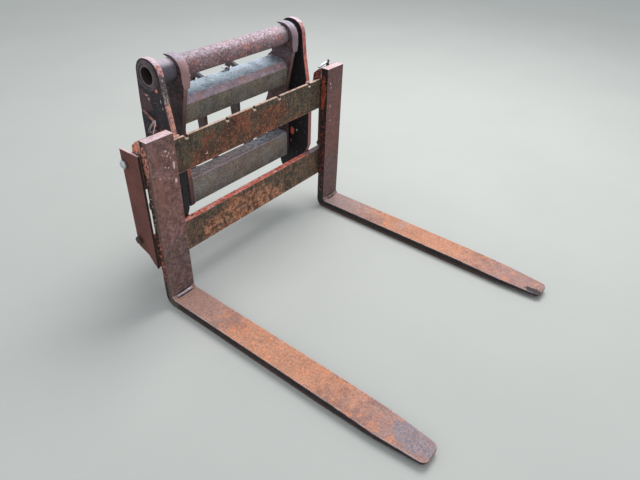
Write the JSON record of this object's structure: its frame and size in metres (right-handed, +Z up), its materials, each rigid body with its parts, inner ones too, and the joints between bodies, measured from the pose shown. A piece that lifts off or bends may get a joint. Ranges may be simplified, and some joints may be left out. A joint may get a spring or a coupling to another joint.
{
  "type": "pallet fork attachment on a loader's quick hitch carrier",
  "caption": "Class 3 pallet fork carriage with sliding fork arms, hung by its tube on the quick hitch carrier of a telehandler or loader.",
  "frame": {"origin": "on the floor under the middle of the whole part's box", "axes": "+X along the fork bars to the right as seen from in front, +Y from the fork tips back to the carrier, +Z up"},
  "size_m": [1.21, 1.542, 0.972],
  "materials": {
    "fork_steel": "worn red paint over brown rust",
    "bar_steel": "olive grey mill scale with brown and orange rust",
    "plate_brown": "smooth brown rust",
    "red_paint": "red-orange paint worn to black and rust",
    "tube_paint": "rust with patches of red-orange paint",
    "rusty_steel": "dark brown rust rubbed smooth",
    "grey_paint": "scuffed blue-grey paint with rusty edges",
    "bright_steel": "zinc plated"
  },
  "bodies": {
    "carriage": {"carrier_lower_beam": "grey_paint", "carrier_upper_beam": "grey_paint", "left_arm_lug": "grey_paint", "left_carrier_hook_plate": "rusty_steel", "left_ear": "red_paint", "left_ear_pad": "red_paint", "left_end_plate": "plate_brown", "left_end_plate_bolts": "bright_steel", "left_tilt_lug": "grey_paint", "left_tube_collar": "red_paint", "lower_fork_bar": "bar_steel", "pickup_tube": "tube_paint", "right_arm_lug": "grey_paint", "right_carrier_hook_plate": "rusty_steel", "right_ear": "red_paint", "right_ear_pad": "red_paint", "right_end_plate": "plate_brown", "right_end_plate_bolts": "bright_steel", "right_tilt_lug": "grey_paint", "right_tube_collar": "red_paint", "upper_fork_bar": "bar_steel"},
    "left_fork": {"left_fork_arm": "fork_steel", "left_fork_bottom_hook": "fork_steel", "left_fork_top_hook": "fork_steel", "left_latch_pin": "rusty_steel", "left_latch_wire_loop": "bright_steel"},
    "right_fork": {"right_fork_arm": "fork_steel", "right_fork_bottom_hook": "fork_steel", "right_fork_top_hook": "fork_steel", "right_latch_lever": "bright_steel", "right_latch_pin": "rusty_steel"},
    "left_lock_pin": {"left_lock_pin": "rusty_steel", "left_lock_pin_handle": "rusty_steel"},
    "right_lock_pin": {"right_lock_pin": "rusty_steel", "right_lock_pin_handle": "rusty_steel"}
  },
  "joints": [
    {"name": "left_fork_slide", "type": "slide", "parent": "carriage", "child": "left_fork", "axis": [1, 0, 0], "range_m": [0, 0.042]},
    {"name": "right_fork_slide", "type": "slide", "parent": "carriage", "child": "right_fork", "axis": [-1, 0, 0], "range_m": [0, 0.042]},
    {"name": "left_lock_pin_pull", "type": "slide", "parent": "carriage", "child": "left_lock_pin", "axis": [-1, 0, 0], "range_m": [0, 0.12]},
    {"name": "right_lock_pin_pull", "type": "slide", "parent": "carriage", "child": "right_lock_pin", "axis": [1, 0, 0], "range_m": [0, 0.12]}
  ]
}
